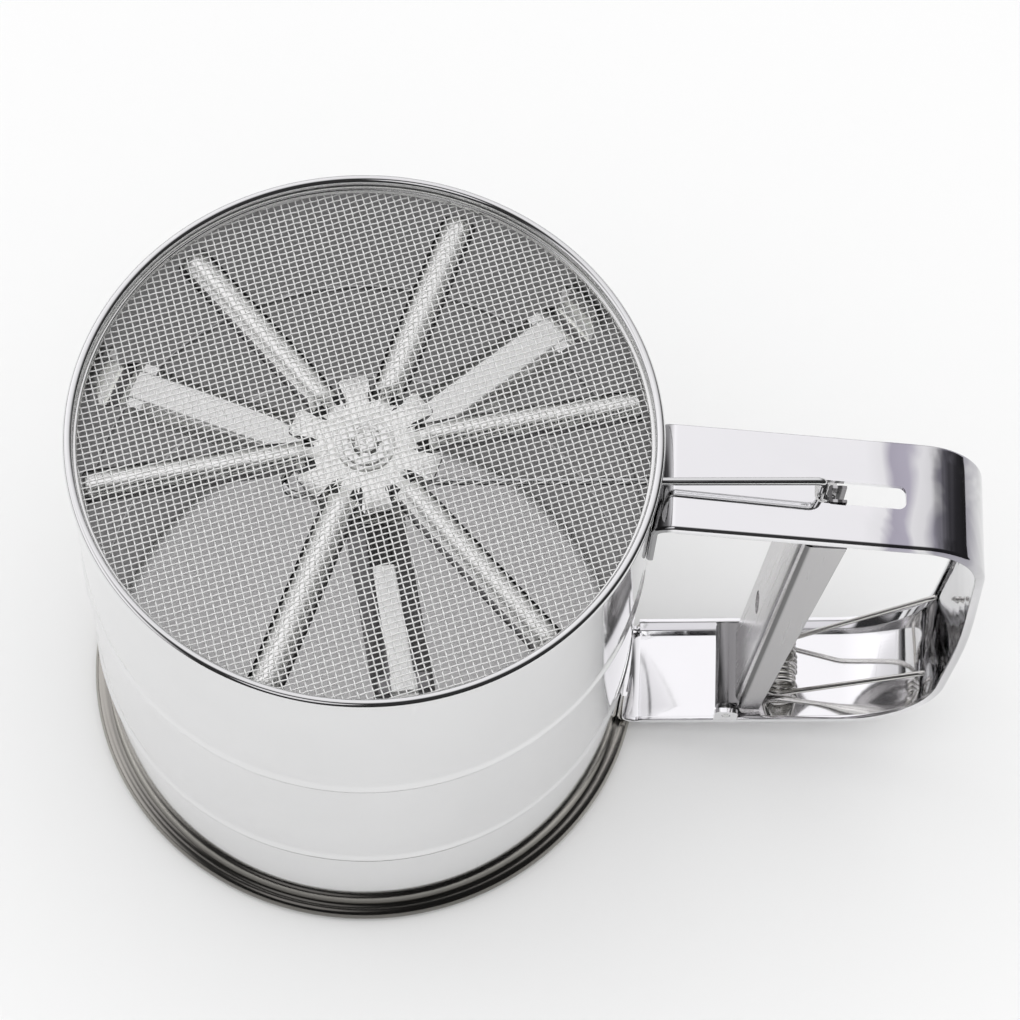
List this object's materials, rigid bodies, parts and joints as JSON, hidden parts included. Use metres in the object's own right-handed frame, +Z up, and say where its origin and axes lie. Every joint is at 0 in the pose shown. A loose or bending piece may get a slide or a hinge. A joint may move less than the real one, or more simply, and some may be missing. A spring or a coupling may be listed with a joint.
{
  "type": "flour sifter",
  "caption": "Cup flour sifter with a squeeze handle: a trigger pulls a wire that swings a star rotor under a fine wire sieve.",
  "frame": {"origin": "centre of the mouth rim's resting plane, with the cup standing on its mouth", "axes": "+Z up from the mouth to the sieve end along the cup's axis, +X from the cup's axis out through the handle, +Y completes the right-handed frame"},
  "size_m": [0.161, 0.1044, 0.098],
  "materials": {
    "polished_steel": "mirror-polished stainless sheet",
    "mesh_wire": "fine bright woven wire",
    "satin_steel": "satin",
    "bright_steel": "bright stamped sheet",
    "spring_wire": "drawn wire",
    "brushed_steel": "fine brushed along its length"
  },
  "bodies": {
    "root": {"cup_shell": "polished_steel", "sieve_mesh": "mesh_wire", "mesh_ring": "satin_steel", "spider_bracket": "bright_steel", "centre_rivet": "satin_steel", "spacer_bush": "satin_steel", "hub_washer": "satin_steel", "retaining_clip": "satin_steel", "handle_band": "polished_steel", "trigger_pin": "satin_steel", "return_spring": "spring_wire"},
    "trigger_lever": {"trigger": "brushed_steel"},
    "rotor_star": {"rotor": "bright_steel"},
    "pull_wire_link": {"pull_wire": "spring_wire"}
  },
  "joints": [
    {"name": "trigger_squeeze", "type": "hinge", "parent": "root", "child": "trigger_lever", "pos_m": [0.0692, 0, 0.0095], "axis": [0, 1, 0], "range_deg": [0, 7.6], "stiffness_Nm_per_rad": 0.2, "springref_deg": -17.19, "deforming": ["return_spring"]},
    {"name": "rotor_swing", "type": "hinge", "parent": "root", "child": "rotor_star", "pos_m": [0, 0, 0.092], "axis": [0, 0, 1], "range_deg": [0, 60]},
    {"name": "wire_pivot", "type": "hinge", "parent": "trigger_lever", "child": "pull_wire_link", "pos_m": [0.0789, -0.00115, 0.0844], "axis": [0, -0.8571, 0.5151], "range_deg": [0, 7.49]}
  ],
  "couplings": [
    {"joint": "rotor_swing", "follows": "trigger_squeeze", "ratio": 7.8947},
    {"joint": "wire_pivot", "follows": "trigger_squeeze", "ratio": 0.98359}
  ]
}
